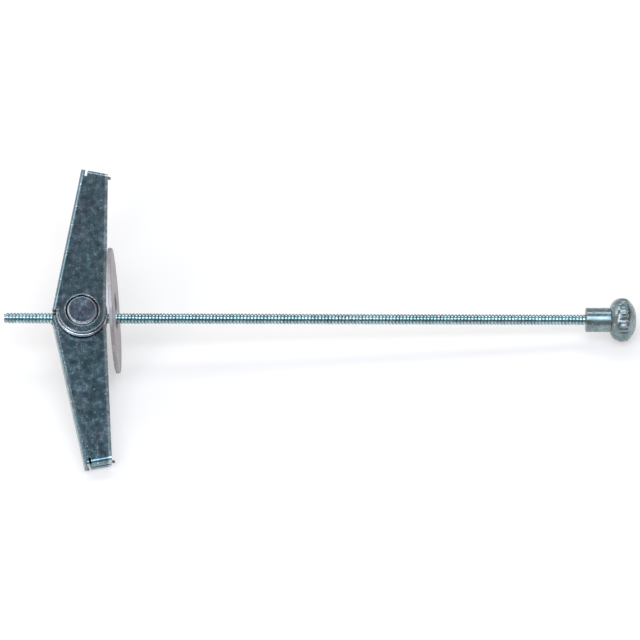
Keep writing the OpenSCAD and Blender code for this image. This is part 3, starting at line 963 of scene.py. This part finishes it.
@dataclass
class KnobNut:
    """Turned sleeve nut with a full, rounded head and a rolled knurl round it.

    Attributes:
        bolt: Axes of the bolt.
        finish: Material of the knob.
        start_mm: Distance of the sleeve's mouth from the pivot.
        bore_mm: Radius of the tapped bore.
        sleeve_mm: Radius of the sleeve.
        edge_mm: Rounding of the sleeve's mouth.
        head_mm: Section of the head: distance from the sleeve's mouth and radius.
        ribs: Ribs of the knurl.
        rib_mm: Depth of its grooves.
        knurl_mm: First and last point of the knurl from the sleeve's mouth.
        fade_mm: Length over which the grooves run out.
        rib_steps: Steps of the turned shape in a rib.
        corner: Share of each step of the section that a round of smoothing cuts off.
        rounds: Rounds of smoothing.
        crease_deg: Angle above which an edge stays sharp.
        gap: Distance below which two points are one, in metres.
    """

    bolt: BoltFrame
    finish: bpy.types.Material
    start_mm: float = 188.75
    bore_mm: float = 2.06
    sleeve_mm: float = 4.55
    edge_mm: float = 0.2
    head_mm: Tuple[Tuple[float, float], ...] = (
        (9.2, 4.55), (9.3, 5.2), (9.7, 6.1), (10.4, 6.95), (11.2, 7.6), (12.1, 8.0), (13.2, 8.2),
        (14.6, 8.2), (15.5, 7.95), (16.2, 7.35), (16.9, 6.6), (17.6, 5.7), (18.3, 4.4), (18.75, 3.0),
        (18.95, 1.6), (19.0, 0.0))
    ribs: int = 32
    rib_mm: float = 0.28
    knurl_mm: Tuple[float, float] = (11.9, 16.0)
    fade_mm: float = 1.1
    rib_steps: int = 8
    corner: float = 0.25
    rounds: int = 2
    crease_deg: float = 38.0
    gap: float = 1e-7

    def build(self) -> None:
        """Turns the section, rolls the knurl and places the knob."""
        source = linked(self.turned(), "knob_source")
        shaped(source, self.tree(), {
            "Ribs": float(self.ribs), "Depth": self.rib_mm * MM, "First": self.knurl_mm[0] * MM,
            "Last": self.knurl_mm[1] * MM, "Fade": self.fade_mm * MM, "Finish": self.finish})
        piece = frozen(source, "knob_nut", self.bolt.rod_matrix(self.start_mm * MM))
        knob = smoothed(piece, self.crease_deg)
        keep(knob, "rod", "knurled_knob")

    def section(self) -> List[Tuple[float, float]]:
        """Whole section from the bottom of the bore, round the mouth, to the middle of the end.

        Returns:
            Distance from the mouth and radius of each point, in millimetres.
        """
        bore_end = self.bolt.span("threaded_rod")[1] / MM - self.start_mm + self.edge_mm
        round_head = list(self.head_mm)
        for _ in range(self.rounds):
            cut = [round_head[0]]
            for (x0, r0), (x1, r1) in zip(round_head[:-1], round_head[1:]):
                for share in (self.corner, 1.0 - self.corner):
                    left = 1.0 - share
                    cut.append((left * x0 + share * x1, left * r0 + share * r1))
            round_head = cut + [round_head[-1]]
        mouth = [(bore_end, 0.0), (bore_end, self.bore_mm), (0.0, self.bore_mm),
                 (0.0, self.sleeve_mm - self.edge_mm), (self.edge_mm, self.sleeve_mm)]
        return mouth + round_head

    def turned(self) -> bpy.types.Mesh:
        """Spins the section into a closed mesh.

        Returns:
            The knob without its knurl, with Z along the rod.
        """
        work = bmesh.new()
        points = [work.verts.new((r * MM, 0.0, x * MM)) for x, r in self.section()]
        edges = [work.edges.new(pair) for pair in zip(points[:-1], points[1:])]
        bmesh.ops.spin(work, geom=points + edges, cent=(0, 0, 0), axis=(0, 0, 1), angle=2 * math.pi,
                       steps=self.ribs * self.rib_steps, use_merge=True)
        bmesh.ops.remove_doubles(work, verts=work.verts, dist=self.gap)
        bmesh.ops.recalc_face_normals(work, faces=work.faces)
        mesh = bpy.data.meshes.new("knob_source")
        work.to_mesh(mesh)
        work.free()
        return mesh

    def tree(self) -> Tree:
        """Geometry tree of the knurl: straight grooves pressed into the rim, which run out at both ends.

        Returns:
            The tree, with named inputs for the sizes.
        """
        tree, given = new_tree("knob_knurl", [
            *((label, "NodeSocketFloat") for label in ("Ribs", "Depth", "First", "Last", "Fade")),
            ("Finish", "NodeSocketMaterial")], given=True)
        sizes = given.outputs
        place = add(tree, "GeometryNodeInputPosition")
        x, y, z = add(tree, "SeparateXYZ", {"Vector": place}).outputs
        angle = add(tree, "Math", {0: y, 1: x}, operation="ARCTAN2")
        turn = add(tree, "Math", {0: angle, 1: 2 * math.pi}, operation="DIVIDE")
        count = add(tree, "Math", {0: turn, 1: sizes["Ribs"]}, operation="MULTIPLY")
        # Goes up to a half and back in each rib; the depth below makes up for the half
        groove = add(tree, "Math", {0: count, 1: 0.5}, operation="PINGPONG")
        inside = add(tree, "Math", {0: z, 1: sizes["First"]}, operation="SUBTRACT")
        before = add(tree, "Math", {0: sizes["Last"], 1: z}, operation="SUBTRACT")
        least = add(tree, "Math", {0: inside, 1: before}, operation="MINIMUM")
        deep = add(tree, "MapRange", mapped(least, 0.0, sizes["Fade"], 0.0, 2.0),
                   interpolation_type="SMOOTHSTEP")
        sunk = add(tree, "Math", {0: groove, 1: deep}, operation="MULTIPLY")
        depth = add(tree, "Math", {0: sunk, 1: sizes["Depth"]}, operation="MULTIPLY")
        flat = add(tree, "CombineXYZ", {"X": x, "Y": y})
        outward = add(tree, "VectorMath", {0: flat}, operation="NORMALIZE")
        inward = add(tree, "Math", {0: depth, 1: -1.0}, operation="MULTIPLY")
        step = add(tree, "VectorMath", {0: outward, "Scale": inward}, operation="SCALE")
        pressed = add(tree, "GeometryNodeSetPosition", {"Geometry": sizes["Geometry"], "Offset": step})
        close_tree(tree, pressed.outputs["Geometry"], sizes["Finish"])
        return tree


@dataclass(frozen=True)
class Softbox:
    """One soft studio lamp.

    Attributes:
        name: Name of the lamp.
        azimuth: Direction it stands in, in degrees from the camera's side, to the right.
        elevation: Height of it in degrees.
        distance: Distance from the bolt in metres.
        size: Width and height in metres.
        power: Power in watts.
        colour: Colour of the light.
    """

    name: str
    azimuth: float
    elevation: float
    distance: float
    size: Tuple[float, float]
    power: float
    colour: str

    def place(self, target: Vector) -> None:
        """Makes the lamp and points it at the bolt."""
        light = bpy.data.lights.new(self.name, "AREA")
        light.shape = "RECTANGLE"
        light.size, light.size_y = self.size
        light.energy = self.power
        light.color = linear(self.colour)[:3]
        lamp = linked(light, self.name)
        lamp.location = target + direction(self.azimuth, self.elevation) * self.distance
        lamp.rotation_euler = (target - lamp.location).to_track_quat("-Z", "Y").to_euler()


def direction(azimuth: float, elevation: float) -> Vector:
    """Unit vector towards a place on the sky; azimuth 0 is the camera's side (-Y), 90 is +X."""
    a = math.radians(azimuth)
    e = math.radians(elevation)
    return Vector((math.sin(a) * math.cos(e), -math.cos(a) * math.cos(e), math.sin(e)))


@dataclass(frozen=True)
class Studio:
    """White table, soft lamps and the camera that looks down on the bolt as the photo does.

    Attributes:
        bolt: Axes of the bolt.
        elevation: Camera's height in degrees.
        azimuth: Camera's side step in degrees, to the right.
        roll: Camera's roll in degrees, which sets the sloping rod level in the picture.
        distance: Camera's distance from the middle of the rod, in metres.
        picture_width: Width of the picture at the rod, in metres.
        aim_mm: Step of the aim from the rod, to the right and up in the picture.
        sensor: Camera's sensor width in millimetres.
        table_reach: Half the table's width, in metres.
        table_top: Height of the table, just below the bolt, in metres.
        card: Colour of the table.
        card_glow: Light of the table towards the camera and in reflections.
        room: Colour of the room.
        rise_span: Heights, as sines, between which the walls go over to the ceiling.
        rise_light: Light of the walls and of the ceiling.
        right_span: Places, as sines, between which the room goes over to its right side.
        right_light: Share of the light in the rest of the room and on that side.
        front_span: Places, as sines, between which the front goes over to the rest of the room.
        front_light: Share of the light in the front and in the rest of the room.
    """

    bolt: BoltFrame
    elevation: float = 50.689
    azimuth: float = -0.6
    roll: float = -1.39
    distance: float = 4.0
    picture_width: float = 0.23936
    aim_mm: Tuple[float, float] = (-0.2656, -0.347)
    sensor: float = 36.0
    table_reach: float = 2.0
    table_top: float = -2e-5
    card: str = "#c4c0bc"
    card_glow: float = 0.46
    room: str = "#f3f6fa"
    rise_span: Tuple[float, float] = (0.2, 0.95)
    rise_light: Tuple[float, float] = (0.8, 0.12)
    right_span: Tuple[float, float] = (0.3, 0.9)
    right_light: Tuple[float, float] = (1.0, 0.12)
    front_span: Tuple[float, float] = (-0.9, -0.2)
    front_light: Tuple[float, float] = (0.5, 1.0)

    def target(self) -> Vector:
        """Point of the rod's axis over the row's origin."""
        return self.bolt.pivot - self.bolt.rod * (self.bolt.pivot.x / self.bolt.rod.x)

    def build(self) -> None:
        """Makes the table, the lamps, the world and the camera."""
        self.table()
        self.world()
        for lamp in (
                Softbox("back_strip", 180, 58, 1.1, (1.3, 0.36), 4.4, "#fbfcff"),
                Softbox("front_strip", 4, 69, 1.1, (1.1, 0.6), 8.2, "#deeeff"),
                Softbox("front_left", -42, 40, 1.1, (0.28, 0.28), 2.2, "#fff2f5"),
                Softbox("left_side", -112, 38, 1.1, (0.5, 0.5), 1.7, "#f6f3f6"),
                Softbox("right_side", 80, 35, 1.2, (0.5, 0.4), 1.4, "#fff4f2")):
            lamp.place(self.target())
        self.camera()
        bpy.context.scene.view_settings.view_transform = "Standard"

    def camera(self) -> None:
        """Places the camera at the photo's angle."""
        data = bpy.data.cameras.new("photo_camera")
        data.sensor_width = self.sensor
        data.lens = self.sensor * self.distance / self.picture_width
        eye = linked(data, "photo_camera")
        towards = direction(self.azimuth, self.elevation)
        turned = (-towards).to_track_quat("-Z", "Y").to_matrix().to_4x4()
        turned = turned @ Matrix.Rotation(math.radians(self.roll), 4, "Z")
        step = turned @ Vector((self.aim_mm[0] * MM, self.aim_mm[1] * MM, 0.0))
        eye.matrix_world = Matrix.Translation(self.target() + step + towards * self.distance) @ turned
        bpy.context.scene.camera = eye
        LOG.info("camera at %.1f degrees, %.1f m away", self.elevation, self.distance)

    def table(self) -> None:
        """White table that keeps the bolt's shadow."""
        mesh = bpy.data.meshes.new("table")
        corners = [(x * self.table_reach, y * self.table_reach, self.table_top)
                   for x, y in ((-1, -1), (1, -1), (1, 1), (-1, 1))]
        mesh.from_pydata(corners, [], [(0, 1, 2, 3)])
        top = linked(mesh, "table")
        paint = bpy.data.materials.new("white_card")
        tree = empty_tree(paint)
        card = add(tree, "BsdfDiffuse", {"Color": linear(self.card)})
        path = add(tree, "LightPath")
        seen = path.outputs["Is Camera Ray"]
        for ray in ("Is Glossy Ray", "Is Transmission Ray"):
            seen = add(tree, "Math", {0: seen, 1: path.outputs[ray]}, operation="MAXIMUM")
        strength = add(tree, "Math", {0: seen, 1: self.card_glow}, operation="MULTIPLY")
        glow = add(tree, "Emission", {"Color": linear("#ffffff"), "Strength": strength})
        both = add(tree, "AddShader", {0: card, 1: glow})
        add(tree, "OutputMaterial", {"Surface": both})
        mesh.materials.append(paint)

    def world(self) -> None:
        """Plain room: pale walls, darker overhead, in front and on the right."""
        room = bpy.data.worlds.new("studio_room")
        tree = empty_tree(room)
        place = add(tree, "TexCoord")
        x, y, z = add(tree, "SeparateXYZ", {"Vector": place.outputs["Generated"]}).outputs
        rise = add(tree, "MapRange",
                   mapped(z, *self.rise_span, *self.rise_light),
                   interpolation_type="SMOOTHSTEP")
        right = add(tree, "MapRange",
                    mapped(x, *self.right_span, *self.right_light),
                    interpolation_type="SMOOTHSTEP")
        front = add(tree, "MapRange", mapped(y, *self.front_span, *self.front_light))
        sides = add(tree, "Math", {0: right, 1: front}, operation="MULTIPLY")
        level = add(tree, "Math", {0: rise, 1: sides}, operation="MULTIPLY")
        sky = add(tree, "Background", {"Color": linear(self.room), "Strength": level})
        add(tree, "OutputWorld", {"Surface": sky})
        bpy.context.scene.world = room


def main() -> None:
    """Builds every piece in order and reports it."""
    logging.basicConfig(level=logging.INFO, format="%(name)s: %(message)s")
    bolt = BoltFrame.from_joints()
    # The sheets carry painted highlights round the pivot hole, on the rim of the ears and along the open edge
    sheets = {
        WingNode.OUTER: FoldedZinc(
            "zinc_plated_folded_sheet", "#7a949e", "#6a858f", "#7c8796", smooth=0.18, rough=0.3,
            mottle=0.16, fleck_mm=0.6, fleck_share=0.9, own=bolt.wing_matrix(WingNode.OUTER),
            scuff_share=0.84).material(),
        WingNode.INNER: FoldedZinc(
            "zinc_plated_scuffed_sheet", "#7997a0", "#627e88", "#828996", smooth=0.18, rough=0.3,
            mottle=0.24, fleck_mm=0.6, fleck_share=0.8, own=bolt.wing_matrix(WingNode.INNER),
            scuff_share=0.45, rim_side=1.0, tip_mm=(-0.85, 60.0)).material()}
    rod = ZincFinish(
        "zinc_plated_rolled_thread", "#a9c4c8", "#91adb1", "#a5b3b8", smooth=0.16, rough=0.26,
        blotch_mm=4.0, mottle=0.2, fleck_share=0.92, scratch=0.2, grain_um=2.0).material()
    # The cross pin carries a painted highlight on its chamfer and painted shade in the recess round its boss
    pin = TurnedZinc(
        "zinc_plated_turned_pin", "#9fb1c2", "#7f91a4", "#a09fb4", smooth=0.16, rough=0.28,
        blotch_mm=4.0, mottle=0.25, fleck_share=0.95, scratch=0.2, grain_um=1.5, own=bolt.toggle_matrix(),
        ring_mm=0.9, ring_um=50.0, groove_mm=(5.5, 6.5), edge_mm=(4.8, 5.6)).material()
    washer = ZincFinish(
        "zinc_plated_stamped_washer", "#b2adaf", "#9e9a9d", "#b8a9ae", smooth=0.5, rough=0.62,
        blotch_mm=6.0, mottle=0.12, fleck_share=0.93, scratch=0.25).material()
    knob = TurnedZinc(
        "zinc_plated_turned_knob", "#8ea0a3", "#76888b", "#929190", smooth=0.22, rough=0.36,
        blotch_mm=4.0, mottle=0.18, fleck_share=0.94, scratch=0.15, grain_um=1.5,
        own=bolt.rod_matrix(0.0)).material()
    wire = ZincFinish(
        "drawn_spring_wire", "#d2d6dc", "#b0b6be", "#d6ccd0", smooth=0.2, rough=0.32,
        blotch_mm=2.0, mottle=0.15, fleck_share=0.95, scratch=0.4, grain_um=1.0).material()
    ThreadedRod(bolt, rod).build()
    for wing, sheet in sheets.items():
        SoftPiece(wing.value, wing.value + "_folded", wing.value, "zinc_wing", WING_EDGE_MM, sheet).build()
    SoftPiece("trunnion_nut", "cross_pin", "toggle", "zinc_pin", PIN_EDGE_MM, pin).build()
    TorsionSpring(bolt, wire).build()
    SoftPiece("washer", "flat_washer", "washer", "zinc_washer", WASHER_EDGE_MM, washer).build()
    KnobNut(bolt, knob).build()
    Studio(bolt).build()


if __name__ == "__main__":
    main()
